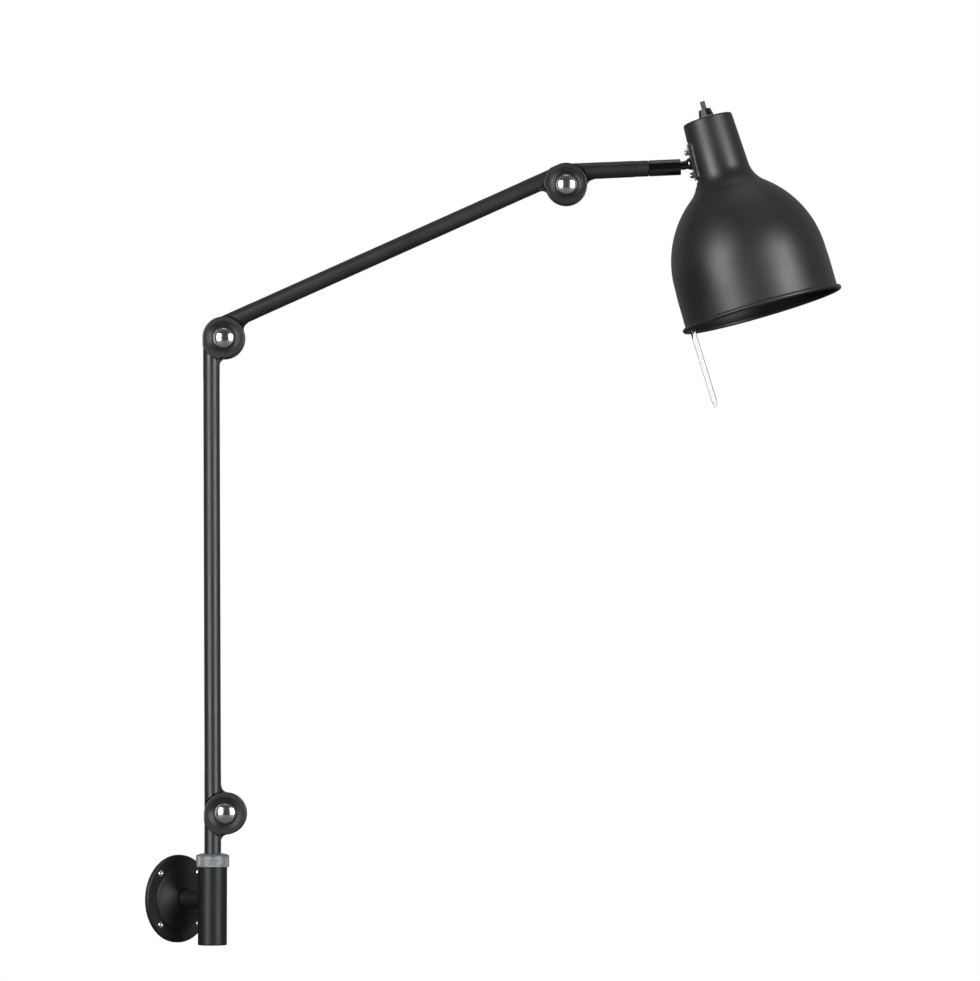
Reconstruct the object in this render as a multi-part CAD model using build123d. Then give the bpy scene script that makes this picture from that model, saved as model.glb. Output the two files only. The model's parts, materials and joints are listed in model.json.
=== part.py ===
from build123d import *
import os
from math import atan2, cos, degrees, radians, sin, sqrt, tan

# Articulating wall lamp: a round wall plate carries an upright socket. A post turns in the socket,
# three elbows fold in one upright plane, and a ball joint carries a bell shaped shade.
# Millimetres and degrees. The origin is the middle of the wall plate's back, the wall is the plane
# y = 0, the lamp stands out towards -Y and +Z is up.
#
# The arms are drawn in their own upright plane, called the arm plane: X runs out along the arms,
# Y runs away from the side that shows the polished caps, and the post is on the Z axis.
# IN_ROOM turns that plane to where the lamp rests and stands it off the wall.

# ---------------------------------------------------------------- fits
FIT = 0.02            # radial gap of a seated piece
RUN = 0.05            # gap of a piece that turns on another
FREE = 0.3            # gap of pieces that move apart and never touch

# ---------------------------------------------------------------- pose at rest
ARM_PLANE_TURN = 46.6     # arm plane, turned out from the wall's +X
ARM_1_ANGLE = 90.38        # above the horizontal, in the arm plane
ARM_2_ANGLE = 24.26
ARM_3_ANGLE = 2.47
STUD_ANGLE = 13.16

# ---------------------------------------------------------------- wall plate
PLATE_D = 85.0
PLATE_EDGE_T = 3.5
PLATE_EDGE_R = 1.5
RIDGE_D = 61.6            # foot of the raised middle
RIDGE_H = 1.9
RIDGE_R = 1.4
CONE_TOP_D = 21.0
CONE_TOP_H = 12.0         # above the wall
CONE_SAG = 1.1
POCKET_D = 50.0
POCKET_DEPTH = 4.4
INNER_POCKET_D = 30.4
INNER_POCKET_DEPTH = 8.0
NECK_D = 18.0             # horizontal neck from the plate to the socket
NECK_SPIGOT_D = 13.0
NECK_BORE_D = 10.0
STANDOFF = 50.0           # wall to the post's axis
SCREW_PCD = 70.0
SCREW_COUNT = 4
SCREW_HOLE_D = 4.4
SCREW_SHANK_D = 3.9
SCREW_THREAD_D = 3.5
SCREW_HEAD_D = 6.4
SCREW_HEAD_H = 2.6
SCREW_HEAD_SIDE = 0.6
SCREW_CROSS = (3.4, 0.9, 1.2)         # long, wide, deep
SCREW_IN_WALL = 7.0
SCREW_TIP = 1.5
TERMINAL_W = 14.0
TERMINAL_UP = 6.6
TERMINAL_T = 7.0
TERMINAL_DROP = 9.6       # its middle, under the neck's axis
TERMINAL_POLES = 3
TERMINAL_PITCH = 4.4
TERMINAL_HOLE_D = 2.6

# ---------------------------------------------------------------- socket and collar
SOCKET_D = 28.0
SOCKET_BORE_D = 22.0
SOCKET_LOW = -41.4
SHOULDER_Z = 31.3         # the collar's lower edge stands just over this shoulder
THREAD_D = 26.0
THREAD_L = 7.2
CAP_T = 2.1
CAP_EDGE_R = 1.0
CAP_PLUG_L = 4.5
CAP_PLUG_WALL = 2.0
BUSH_L = 12.0
BUSH_FLANGE_T = 1.0
BUSH_LOW_Z = 12.0
POST_LOW_Z = 9.0
POST_FLANGE_D = 21.0
POST_FLANGE_T = 1.5
POST_BORE_D = 11.0
CIRCLIP_T = 1.1
CIRCLIP_D = 19.2
CIRCLIP_GROOVE_D = 14.6
CIRCLIP_GAP = 5.0
COLLAR_D = 32.0
COLLAR_GAP = 0.1          # collar over the socket's shoulder
COLLAR_L = 11.9
COLLAR_DOME_H = 1.6
COLLAR_DOME_D = 18.6
COLLAR_BEVEL = 0.8
CLAMP_RING_H = 1.6
CLAMP_RING_D = 24.6
CLAMP_RING_SPLIT = 2.0

# ---------------------------------------------------------------- elbows and tubes
ELBOW_1_Z = 83.2
ARM_1_L = 460.8           # elbow to elbow
ARM_2_L = 365.0
KNUCKLE_D = 40.8
KNUCKLE_HALF_T = 9.2      # middle plane to the flat face
KNUCKLE_SPLIT = 0.15      # middle plane to the inner face
KNUCKLE_EDGE_R = 1.2
KNUCKLE_NECK_D = 16.2
KNUCKLE_NECK_L = 38.8     # elbow's centre to the seam with the tube
KNUCKLE_FILLET_R = 6.8
KNUCKLE_FLARE_T = 5.6
WEB_GAP = 1.5             # past the disc, where the flat face ends on the neck
RELIEF_GAP = 1.2          # round the other casting's disc
DISH_D = 32.4
DISH_FLOOR_D = 21.2
DISH_DEPTH = 4.5
SPIGOT_L = 18.0
TUBE_D = 16.0
TUBE_WALL = 1.25
CABLE_BORE_D = 7.0
PIVOT_D = 8.0
PIVOT_HEAD_D = 14.0
PIVOT_HEAD_H = 2.6
PIVOT_SOCKET_AF = 5.0
PIVOT_SOCKET_DEPTH = 2.0
PIVOT_FLANGE_D = 13.6
PIVOT_FLANGE_T = 1.0
PIVOT_NUT_AF = 11.0
PIVOT_NUT_H = 1.9
PIVOT_END = 0.4           # thread past the nut
FRICTION_WASHER_D = 16.6
FRICTION_WASHER_T = 1.2
DOME_D = 20.6
DOME_SKIRT = 1.4
DOME_SPHERE_R = 15.5
DOME_WALL = 0.8

# ---------------------------------------------------------------- arm 3 and the ball joint
ARM_3_TUBE_END = 66.6     # elbow's centre to the tube's end
HOUSING_D = 15.6
HOUSING_BAND_L = 13.6
HOUSING_SPIGOT_L = 9.0
HOUSING_EDGE = 0.4
GROOVE_D = 14.4
GROOVE_L = 1.0
NOSE_D = 12.8
NOSE_L = 15.8
SLEEVE_D = 15.7
SLEEVE_END = 4.7          # past the ball's centre
SLEEVE_EDGE = 0.4
SLEEVE_LIP = 2.8          # past the ball's centre
SLEEVE_MOUTH_D = 14.2
BALL_AT = 107.3           # elbow's centre to the ball's centre, along the tube
BALL_D = 12.0
SEAT_L = 8.6
SEAT_WASHER_T = 1.0
STUD_NECK_D = 8.6
STUD_WAIST_D = 7.2
STUD_WAIST_END = 6.0      # ball's centre to the full neck
STUD_FACE = 15.4          # ball's centre to the front clamp plate
STUD_SHOULDER_D = 12.2
STUD_SPIGOT_D = 8.0
STUD_BORE_D = 4.0
STUD_NUT_AF = 12.0
STUD_NUT_H = 3.0
STUD_FLANGE_D = 14.6
STUD_FLANGE_T = 1.0
STUD_END = 0.4

# ---------------------------------------------------------------- clamp plates on the shade's neck
CLAMP_W = 18.0
CLAMP_UP = 18.8           # stud's axis to the upper end
CLAMP_DOWN = 16.8
CLAMP_T = 1.3
CLAMP_CORNER_R = 2.5
PAD_T = 0.8
PAD_INSET = 0.4
CLAMP_SCREW_AT = 11.4     # stud's axis to each screw
CLAMP_SCREW_D = 4.0
CLAMP_HEAD_D = 5.8
CLAMP_HEAD_H = 4.0
CLAMP_HEAD_SOCKET = 2.4
CLAMP_NUT_AF = 6.4
CLAMP_NUT_H = 2.0
CLAMP_SCREW_END = 0.3
FLAT_DEPTH = 2.6          # pressed flat, under the neck's round
FLAT_END_GAP = 0.5        # past the plates' ends

# ---------------------------------------------------------------- shade, sizes down its axis
SHADE_TOP_D = 48.8
SHADE_TOP_EDGE_R = 1.8
SHADE_NECK_L = 55.4
SHADE_NECK_LOW_D = 54.0
SHOULDER_FILLET_R = 28.0
BELL_R = 100.0
BELL_D = 152.0
BELL_END = 151.6
SKIRT_D = 153.0
SKIRT_END = 193.4         # middle of the rolled edge
BEAD_R = 2.3
BEAD_D = 155.3            # through the middle of the rolled edge
SHADE_WALL = 1.2
STUD_AT = 37.9            # top to the stud's axis, at the neck's surface
STUD_HOLE_D = 17.4

# ---------------------------------------------------------------- lamp holder and bulb
BRACKET_AT = 25.3         # top of the shade to the bracket
BRACKET_T = 1.5
BRACKET_W = 16.0
BRACKET_TAB_L = 9.0
BRACKET_GAP = 0.12        # tabs to the neck's wall
NIPPLE_D = 10.0
NIPPLE_BORE_D = 7.0
NIPPLE_UP = 3.4           # over the bracket
NIPPLE_IN = 5.0           # in the holder's top
NIPPLE_NUT_AF = 14.0
NIPPLE_NUT_H = 2.6
HOLDER_TOP_GAP = 1.0
HOLDER_TOP_D = 28.0
HOLDER_TOP_L = 14.0
HOLDER_CONE_L = 12.0
HOLDER_D = 39.0
HOLDER_L = 44.0
HOLDER_WALL = 2.5
INSERT_T = 8.0
INSERT_PLUG_L = 3.0
INSERT_WALL = 1.4
CONTACT_T = 0.8
BULB_CAP_D = 26.4
BULB_CAP_L = 25.0
BULB_CAP_WALL = 0.6
BULB_NECK_D = 25.0
BULB_NECK_L = 8.0
BULB_D = 60.0
BULB_L = 106.0            # cap's foot to the bulb's end
BULB_WALL = 1.0

# ---------------------------------------------------------------- switch and handle
SWITCH_BODY_D = 15.0
SWITCH_BODY_L = 18.0
SWITCH_THREAD_D = 9.0
SWITCH_HOLE_GAP = 0.1
SWITCH_NUT_AF = 13.8
SWITCH_NUT_H = 9.7
SWITCH_NUT_TOP_AF = 10.8
SWITCH_NUT_SIDE = 2.6     # upright part under the taper
SWITCH_NUT_SIDES = 8
BUTTON_D = 4.9
BUTTON_UP = 17.7          # over the shade's top
BUTTON_TRAVEL = 2.5
BUTTON_IN = 6.0           # under the shade's top
BUTTON_EDGE = 0.5
HANDLE_D = 5.4
HANDLE_IN = 171.7         # from the shade's top to the handle's inner end
HANDLE_OUT = 273.6
HANDLE_AXIS_R = 70.9      # from the shade's axis, at the clip
HANDLE_LEAN = 1.0
HANDLE_TIP_L = 7.0
HANDLE_TIP_D = 2.0
CLIP_AT = 181.7           # from the shade's top to the clip's middle
CLIP_L = 12.0
CLIP_W = 9.0
CLIP_COVER = 1.6          # clip wall round the handle

# ---------------------------------------------------------------- worked out
KNUCKLE_R = KNUCKLE_D / 2
TUBE_OFFSET = KNUCKLE_R - KNUCKLE_NECK_D / 2      # elbow's centre to the tubes' axis
WEB_R = KNUCKLE_R + WEB_GAP
RELIEF_R = KNUCKLE_R + RELIEF_GAP
TUBE_BORE_D = TUBE_D - 2 * TUBE_WALL
SPIGOT_D = TUBE_BORE_D - 2 * FIT
PIVOT_BORE_D = PIVOT_D + 2 * RUN
DISH_FLOOR_Y = KNUCKLE_HALF_T - DISH_DEPTH
WASHER_SEAT = (FRICTION_WASHER_T + RUN) / 2       # middle plane to each casting's washer seat
POST_TOP_Z = ELBOW_1_Z - KNUCKLE_NECK_L
THREAD_TOP_Z = SHOULDER_Z + THREAD_L
POST_FLANGE_Z = THREAD_TOP_Z + BUSH_FLANGE_T + RUN
CLAMP_RING_Z = POST_FLANGE_Z + POST_FLANGE_T + RUN
COLLAR_LIP_Z = CLAMP_RING_Z + CLAMP_RING_H
COLLAR_LOW_Z = SHOULDER_Z + COLLAR_GAP
HOUSING_END = ARM_3_TUBE_END + HOUSING_BAND_L
NOSE_START = HOUSING_END + GROOVE_L
NOSE_END = NOSE_START + NOSE_L
FLAT_ANGLE = degrees(atan2(SHADE_NECK_LOW_D - SHADE_TOP_D, 2 * SHADE_NECK_L))
SHADE_LEAN = STUD_ANGLE + FLAT_ANGLE
CLAMP_FRONT = STUD_FACE + RUN                     # ball's centre to the front plate
CLAMP_BACK = CLAMP_FRONT + 2 * CLAMP_T + PAD_T    # ball's centre to the neck's flat
HOLDER_AT = BRACKET_AT + BRACKET_T + HOLDER_TOP_GAP
BULB_AT = HOLDER_AT + HOLDER_TOP_L + INSERT_T + CONTACT_T

IN_ROOM = Pos(0, -STANDOFF, 0) * Rot(0, 0, -ARM_PLANE_TURN)
OUT_OF_WALL = Rot(90, 0, 0)                       # takes +Z to -Y, away from the wall


def rod(diameter, low, high):
    """Round bar on the Z axis between two heights."""
    return Pos(0, 0, (low + high) / 2) * Cylinder(diameter / 2, high - low)


def tube(outer, inner, low, high):
    """Round tube on the Z axis between two heights."""
    return rod(outer, low, high) - rod(inner, low, high)


def polygon_bar(across_flats, sides, low, high):
    """Bar on the Z axis whose section is a regular polygon."""
    outline = RegularPolygon(across_flats / 2, sides, major_radius=False)
    return Pos(0, 0, low) * extrude(outline, high - low)


def block(x_low, x_high, y_low, y_high, z_low, z_high):
    """Box between two corners."""
    middle = ((x_low + x_high) / 2, (y_low + y_high) / 2, (z_low + z_high) / 2)
    return Pos(*middle) * Box(x_high - x_low, y_high - y_low, z_high - z_low)


def turned(*corners):
    """Solid turned about the Z axis. A corner is (radius, height). A third value bulges the side
    that ends there into an arc, by that height to the right of the way it runs."""
    sides = []
    for start, end in zip(corners[-1:] + corners[:-1], corners):
        (r0, z0), (r1, z1) = start[:2], end[:2]
        if len(end) == 2:
            sides.append(Line((r0, 0, z0), (r1, 0, z1)))
            continue
        span = sqrt((r1 - r0) ** 2 + (z1 - z0) ** 2)
        mid_r = (r0 + r1) / 2 + end[2] * (z1 - z0) / span
        mid_z = (z0 + z1) / 2 - end[2] * (r1 - r0) / span
        sides.append(ThreePointArc((r0, 0, z0), (mid_r, 0, mid_z), (r1, 0, z1)))
    return revolve(make_face(Wire(sides)), Axis.Z)


def sagitta(radius, chord):
    """Height of an arc of a radius over its chord."""
    return radius - sqrt(radius ** 2 - chord ** 2 / 4)


def rounded(radius):
    """Bulge of a quarter circle's chord."""
    return radius * (1 - cos(radians(45)))


def along_y(shape):
    """Turns a piece drawn on +Z so that it runs along +Y, the elbows' axis."""
    return Rot(-90, 0, 0) * shape


def point_at(distance, angle):
    """Offset in the arm plane at an angle above the horizontal."""
    return Vector(distance * cos(radians(angle)), 0, distance * sin(radians(angle)))


def facing(origin, angle):
    """Frame at a point of the arm plane whose +Z runs at an angle above the horizontal."""
    return Pos(*origin) * Rot(0, 90 - angle, 0)


# ---------------------------------------------------------------- where the joints are, arm plane
ELBOW_1 = Vector(TUBE_OFFSET, 0, ELBOW_1_Z)
ELBOW_2 = ELBOW_1 + point_at(ARM_1_L, ARM_1_ANGLE)
ELBOW_3 = ELBOW_2 + point_at(ARM_2_L, ARM_2_ANGLE)
BALL = ELBOW_3 + point_at(BALL_AT, ARM_3_ANGLE) + point_at(TUBE_OFFSET, ARM_3_ANGLE + 90)

AT_ARM_1 = facing(ELBOW_1, ARM_1_ANGLE)
AT_ARM_2 = facing(ELBOW_2, ARM_2_ANGLE)
AT_ARM_3 = facing(ELBOW_3, ARM_3_ANGLE)
ON_TUBE_3 = AT_ARM_3 * Pos(-TUBE_OFFSET, 0, 0)
AT_STUD = facing(BALL, STUD_ANGLE)

# The shade hangs on the stud. The middle of the flat in its neck lies on the stud's axis, behind
# the clamp plates, and the flat is parallel to the neck's flank.
NECK_R_AT_STUD = SHADE_TOP_D / 2 + STUD_AT * tan(radians(FLAT_ANGLE))
FLAT_X = -(NECK_R_AT_STUD - FLAT_DEPTH * cos(radians(FLAT_ANGLE)))
FLAT_Z = -(STUD_AT + FLAT_DEPTH * sin(radians(FLAT_ANGLE)))
AT_FLAT = Pos(*(BALL + point_at(CLAMP_BACK, STUD_ANGLE)))
AT_SHADE = AT_FLAT * Rot(0, -SHADE_LEAN, 0) * Pos(-FLAT_X, 0, -FLAT_Z)
# The same stud frame, seen from the shade: +Z runs into the shade, +X runs down the flank.
STUD_IN_SHADE = Pos(FLAT_X, 0, FLAT_Z) * Rot(0, 90 + FLAT_ANGLE, 0) * Pos(0, 0, -CLAMP_BACK)


# ---------------------------------------------------------------- wall plate and its neck
def on_screws(shape):
    """The same piece at each of the wall screws, on the diagonals."""
    half = 180 / SCREW_COUNT
    spots = [Rot(0, 0, half + 360 * n / SCREW_COUNT) * Pos(SCREW_PCD / 2, 0, 0) for n in range(SCREW_COUNT)]
    return [spot * shape for spot in spots]


def wall_plate():
    """Turned plate: flat rim, ridge, hollow cone, stepped pocket behind and four screw holes."""
    rim, edge, ridge = PLATE_D / 2, PLATE_EDGE_R, RIDGE_D / 2
    ridge_z = PLATE_EDGE_T + RIDGE_H
    spigot = NECK_SPIGOT_D / 2 + FIT
    plate = turned(
        (spigot, INNER_POCKET_DEPTH),
        (INNER_POCKET_D / 2, INNER_POCKET_DEPTH),
        (INNER_POCKET_D / 2, POCKET_DEPTH),
        (POCKET_D / 2, POCKET_DEPTH),
        (POCKET_D / 2, 0),
        (rim, 0),
        (rim, PLATE_EDGE_T - edge),
        (rim - edge, PLATE_EDGE_T, rounded(edge)),
        (ridge, PLATE_EDGE_T),
        (ridge, ridge_z - RIDGE_R),
        (ridge - RIDGE_R, ridge_z, rounded(RIDGE_R)),
        (CONE_TOP_D / 2, CONE_TOP_H, -CONE_SAG),
        (spigot, CONE_TOP_H),
    )
    for hole in on_screws(rod(SCREW_HOLE_D, -1, PLATE_EDGE_T + 1)):
        plate -= hole
    return OUT_OF_WALL * plate


def wall_neck():
    """Hollow neck, spigoted in the plate and coped round the socket."""
    neck = rod(NECK_D, CONE_TOP_H, STANDOFF) + rod(NECK_SPIGOT_D, INNER_POCKET_DEPTH, CONE_TOP_H)
    neck -= rod(NECK_BORE_D, 0, STANDOFF)
    neck -= Pos(0, 0, STANDOFF) * along_y(rod(SOCKET_D + 2 * FIT, -NECK_D, NECK_D))
    return OUT_OF_WALL * neck


def wall_screws():
    """Four screws: domed cross head, shank in the plate, thread and point in the wall."""
    side = PLATE_EDGE_T + SCREW_HEAD_SIDE
    top = PLATE_EDGE_T + SCREW_HEAD_H
    dome = SCREW_HEAD_H - SCREW_HEAD_SIDE
    half = SCREW_HEAD_D / 2
    radius = (half ** 2 + dome ** 2) / (2 * dome)
    bulge = sagitta(radius, sqrt(half ** 2 + dome ** 2))
    screw = turned(
        (0, -SCREW_IN_WALL),
        (SCREW_THREAD_D / 2, SCREW_TIP - SCREW_IN_WALL),
        (SCREW_THREAD_D / 2, 0),
        (SCREW_SHANK_D / 2, 0),
        (SCREW_SHANK_D / 2, PLATE_EDGE_T),
        (half, PLATE_EDGE_T),
        (half, side),
        (0, top, bulge),
    )
    long, wide, deep = SCREW_CROSS
    for turn in (0, 90):
        screw -= Rot(0, 0, turn) * block(-long / 2, long / 2, -wide / 2, wide / 2, top - deep, top + 1)
    return OUT_OF_WALL * Compound(children=on_screws(screw))


def terminal_block():
    """Three pole block under the neck's bore, on the pocket's floor."""
    floor, back = INNER_POCKET_DEPTH, INNER_POCKET_DEPTH - TERMINAL_T
    low, high = -TERMINAL_DROP - TERMINAL_UP / 2, -TERMINAL_DROP + TERMINAL_UP / 2
    piece = block(-TERMINAL_W / 2, TERMINAL_W / 2, low, high, back, floor)
    piece = chamfer(piece.edges().filter_by(Axis.Z), 0.6)
    first = -TERMINAL_PITCH * (TERMINAL_POLES - 1) / 2
    for pole in range(TERMINAL_POLES):
        x = first + pole * TERMINAL_PITCH
        piece -= Pos(x, -TERMINAL_DROP, 0) * rod(TERMINAL_HOLE_D, back - 1, back + TERMINAL_T / 2)
        piece -= Pos(x, 0, back + TERMINAL_T / 2) * along_y(rod(TERMINAL_HOLE_D, low - 1, high + 1))
    return OUT_OF_WALL * piece


# ---------------------------------------------------------------- socket and collar, on the post
def socket_tube():
    """Upright tube with a shoulder and a narrower top for the collar. The neck's bore opens in."""
    body = rod(SOCKET_D, SOCKET_LOW, SHOULDER_Z) + rod(THREAD_D, SHOULDER_Z, THREAD_TOP_Z)
    body -= rod(SOCKET_BORE_D, SOCKET_LOW - 1, THREAD_TOP_Z + 1)
    body -= along_y(rod(NECK_BORE_D, 0, SOCKET_D))
    return Pos(0, -STANDOFF, 0) * body


def socket_end_cap():
    """Turned plug that closes the socket from below."""
    low, outer, plug = SOCKET_LOW - CAP_T, SOCKET_D / 2, SOCKET_BORE_D / 2 - FIT
    cap = turned(
        (0, low),
        (outer - CAP_EDGE_R, low),
        (outer, low + CAP_EDGE_R, rounded(CAP_EDGE_R)),
        (outer, SOCKET_LOW),
        (plug, SOCKET_LOW),
        (plug, SOCKET_LOW + CAP_PLUG_L),
        (plug - CAP_PLUG_WALL, SOCKET_LOW + CAP_PLUG_L),
        (plug - CAP_PLUG_WALL, SOCKET_LOW),
        (0, SOCKET_LOW),
    )
    return Pos(0, -STANDOFF, 0) * cap


def swivel_bushes():
    """Two nylon bushes in the socket, the upper with a flange on the socket's top."""
    outer, inner = SOCKET_BORE_D - 2 * FIT, KNUCKLE_NECK_D + 2 * RUN
    upper = tube(outer, inner, THREAD_TOP_Z - BUSH_L, THREAD_TOP_Z)
    upper += tube(THREAD_D - 2 * FIT, inner, THREAD_TOP_Z, THREAD_TOP_Z + BUSH_FLANGE_T)
    lower = tube(outer, inner, BUSH_LOW_Z, BUSH_LOW_Z + BUSH_L)
    return Pos(0, -STANDOFF, 0) * Compound(children=[upper, lower])


def knurled_collar():
    """Round nut over the socket's top. Its lip reaches in over the post's flange."""
    outer, bevel = COLLAR_D / 2, COLLAR_BEVEL
    side_top = COLLAR_LOW_Z + COLLAR_L
    hole, thread = KNUCKLE_NECK_D / 2 + FREE, THREAD_D / 2 + RUN
    return turned(
        (thread, COLLAR_LOW_Z),
        (outer - bevel, COLLAR_LOW_Z),
        (outer, COLLAR_LOW_Z + bevel),
        (outer, side_top - bevel),
        (outer - bevel, side_top),
        (COLLAR_DOME_D / 2, side_top + COLLAR_DOME_H, 0.4),
        (hole, side_top + COLLAR_DOME_H),
        (hole, COLLAR_LIP_Z),
        (thread, COLLAR_LIP_Z),
    )


def clamp_ring():
    """Split ring under the collar's lip, which it presses on the post's flange."""
    ring = tube(CLAMP_RING_D, KNUCKLE_NECK_D + 2 * FREE, CLAMP_RING_Z, COLLAR_LIP_Z)
    half = CLAMP_RING_SPLIT / 2
    return ring - block(0, CLAMP_RING_D, -half, half, CLAMP_RING_Z - 1, COLLAR_LIP_Z + 1)


def swivel_post():
    """Hollow post: takes the first elbow's spigot, turns in the bushes, groove for the circlip."""
    groove_low = BUSH_LOW_Z - FREE - CIRCLIP_T
    post = rod(KNUCKLE_NECK_D, POST_LOW_Z, POST_TOP_Z)
    post += rod(POST_FLANGE_D, POST_FLANGE_Z, POST_FLANGE_Z + POST_FLANGE_T)
    post -= rod(POST_BORE_D, POST_LOW_Z - 1, POST_TOP_Z)
    post -= rod(TUBE_BORE_D, POST_TOP_Z - SPIGOT_L, POST_TOP_Z + 1)
    return post - tube(KNUCKLE_NECK_D + 2, CIRCLIP_GROOVE_D, groove_low, groove_low + CIRCLIP_T)


def circlip():
    """Spring ring that keeps the post in the socket."""
    low = BUSH_LOW_Z - FREE - CIRCLIP_T
    ring = tube(CIRCLIP_D, CIRCLIP_GROOVE_D + 2 * FIT, low, low + CIRCLIP_T)
    half = CIRCLIP_GAP / 2
    return ring - block(0, CIRCLIP_D, -half, half, low - 1, low + CIRCLIP_T + 1)


# ---------------------------------------------------------------- elbows
def knuckle():
    """Elbow casting at the origin: half thickness disc on +Y, neck beside it running up +Z."""
    disc_r, neck_r = KNUCKLE_R, KNUCKLE_NECK_D / 2
    near_side = -TUBE_OFFSET + neck_r
    split, face = KNUCKLE_SPLIT, KNUCKLE_HALF_T
    plate = along_y(rod(KNUCKLE_D, split, face))
    web = block(-disc_r, near_side, split, face, 0, WEB_R) & along_y(rod(2 * WEB_R, split, face))
    plate += web
    plate = fillet(plate.edges().group_by(Axis.Y)[-1], KNUCKLE_EDGE_R)
    # The concave side is an arc tangent to the disc and to the neck's near side.
    centre_x = near_side + KNUCKLE_FILLET_R
    centre_z = sqrt((disc_r + KNUCKLE_FILLET_R) ** 2 - centre_x ** 2)
    reach = disc_r / (disc_r + KNUCKLE_FILLET_R)
    on_neck, on_disc = (near_side, centre_z), (centre_x * reach, centre_z * reach)
    middle = atan2(on_disc[1] - centre_z, on_disc[0] - centre_x) / 2 - radians(90)
    on_arc = (centre_x + KNUCKLE_FILLET_R * cos(middle), centre_z + KNUCKLE_FILLET_R * sin(middle))
    corners = [on_disc, (0, disc_r / 2), (-TUBE_OFFSET, disc_r / 2), (-TUBE_OFFSET, centre_z), on_neck]
    corners = [(x, split, z) for x, z in corners]
    arc = ThreePointArc(corners[-1], (on_arc[0], split, on_arc[1]), corners[0])
    flare = make_face(Wire([*Polyline(*corners).edges(), arc]))
    neck = Pos(-TUBE_OFFSET, 0, 0) * rod(KNUCKLE_NECK_D, 0, KNUCKLE_NECK_L)
    neck -= along_y(rod(2 * RELIEF_R, -KNUCKLE_NECK_D, split))
    casting = plate + neck + extrude(flare, KNUCKLE_FLARE_T - split, dir=(0, 1, 0))
    casting += Pos(-TUBE_OFFSET, 0, 0) * rod(SPIGOT_D, KNUCKLE_NECK_L, KNUCKLE_NECK_L + SPIGOT_L)
    slope = (DISH_D - DISH_FLOOR_D) / 2
    dish = turned(
        (0, DISH_FLOOR_Y),
        (DISH_FLOOR_D / 2, DISH_FLOOR_Y),
        (DISH_D / 2 + slope, face + DISH_DEPTH),
        (0, face + DISH_DEPTH),
    )
    casting -= along_y(dish + rod(PIVOT_BORE_D, 0, face))
    casting -= along_y(rod(FRICTION_WASHER_D + 2 * RUN, 0, WASHER_SEAT))
    return casting - Pos(-TUBE_OFFSET, 0, 0) * rod(CABLE_BORE_D, 0, KNUCKLE_NECK_L + SPIGOT_L)


def pivot_bolt():
    """Elbow bolt: round head on the front casting's dish, shank through both castings."""
    front = -DISH_FLOOR_Y
    back = DISH_FLOOR_Y + RUN + PIVOT_FLANGE_T + PIVOT_NUT_H + PIVOT_END
    bolt = rod(PIVOT_D, front, back) + rod(PIVOT_HEAD_D, front - PIVOT_HEAD_H, front)
    bolt -= polygon_bar(PIVOT_SOCKET_AF, 6, front - PIVOT_HEAD_H, front - PIVOT_HEAD_H + PIVOT_SOCKET_DEPTH)
    return along_y(bolt)


def pivot_nut():
    """Flanged lock nut behind the rear casting."""
    low = DISH_FLOOR_Y + RUN
    nut = rod(PIVOT_FLANGE_D, low, low + PIVOT_FLANGE_T)
    nut += polygon_bar(PIVOT_NUT_AF, 6, low + PIVOT_FLANGE_T, low + PIVOT_FLANGE_T + PIVOT_NUT_H)
    return along_y(nut - rod(PIVOT_D + 2 * FIT, low, low + PIVOT_FLANGE_T + PIVOT_NUT_H))


def friction_washer():
    """Washer between the two castings, on the front one's seat."""
    return along_y(
        tube(FRICTION_WASHER_D, PIVOT_BORE_D, -WASHER_SEAT, -WASHER_SEAT + FRICTION_WASHER_T)
    )


def dome_cap():
    """Polished domed cap on a casting's dish, towards +Y."""
    outer, low, skirt = DOME_D / 2, DISH_FLOOR_Y, DISH_FLOOR_Y + DOME_SKIRT
    rise = DOME_SPHERE_R - sqrt(DOME_SPHERE_R ** 2 - outer ** 2)
    inner = outer - DOME_WALL
    inner_radius = DOME_SPHERE_R - DOME_WALL
    centre = skirt + rise - DOME_SPHERE_R
    inner_low = centre + sqrt(inner_radius ** 2 - inner ** 2)
    inner_top = centre + inner_radius
    bulge_out = sagitta(DOME_SPHERE_R, sqrt(outer ** 2 + rise ** 2))
    bulge_in = sagitta(inner_radius, sqrt(inner ** 2 + (inner_top - inner_low) ** 2))
    return along_y(turned(
        (inner, low),
        (outer, low),
        (outer, skirt),
        (0, skirt + rise, bulge_out),
        (0, inner_top),
        (inner, inner_low, -bulge_in),
    ))


def arm_tube(length):
    """Tube between the two castings of an arm."""
    return Pos(-TUBE_OFFSET, 0, 0) * tube(TUBE_D, TUBE_BORE_D, KNUCKLE_NECK_L, length - KNUCKLE_NECK_L)


# ---------------------------------------------------------------- arm 3 and the ball joint
def arm_3_tube():
    """Short tube behind the ball joint."""
    return tube(TUBE_D, TUBE_BORE_D, KNUCKLE_NECK_L, ARM_3_TUBE_END)


def ball_housing():
    """Band on the tube's end with a nose that the lock sleeve turns on."""
    spigot, band, edge = SPIGOT_D / 2, HOUSING_D / 2, HOUSING_EDGE
    return turned(
        (CABLE_BORE_D / 2, ARM_3_TUBE_END - HOUSING_SPIGOT_L),
        (spigot, ARM_3_TUBE_END - HOUSING_SPIGOT_L),
        (spigot, ARM_3_TUBE_END),
        (band - edge, ARM_3_TUBE_END),
        (band, ARM_3_TUBE_END + edge),
        (band, HOUSING_END - edge),
        (band - edge, HOUSING_END),
        (GROOVE_D / 2, HOUSING_END),
        (GROOVE_D / 2, NOSE_START - RUN),
        (NOSE_D / 2, NOSE_START - RUN),
        (NOSE_D / 2, NOSE_END),
        (CABLE_BORE_D / 2, NOSE_END),
    )


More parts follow.
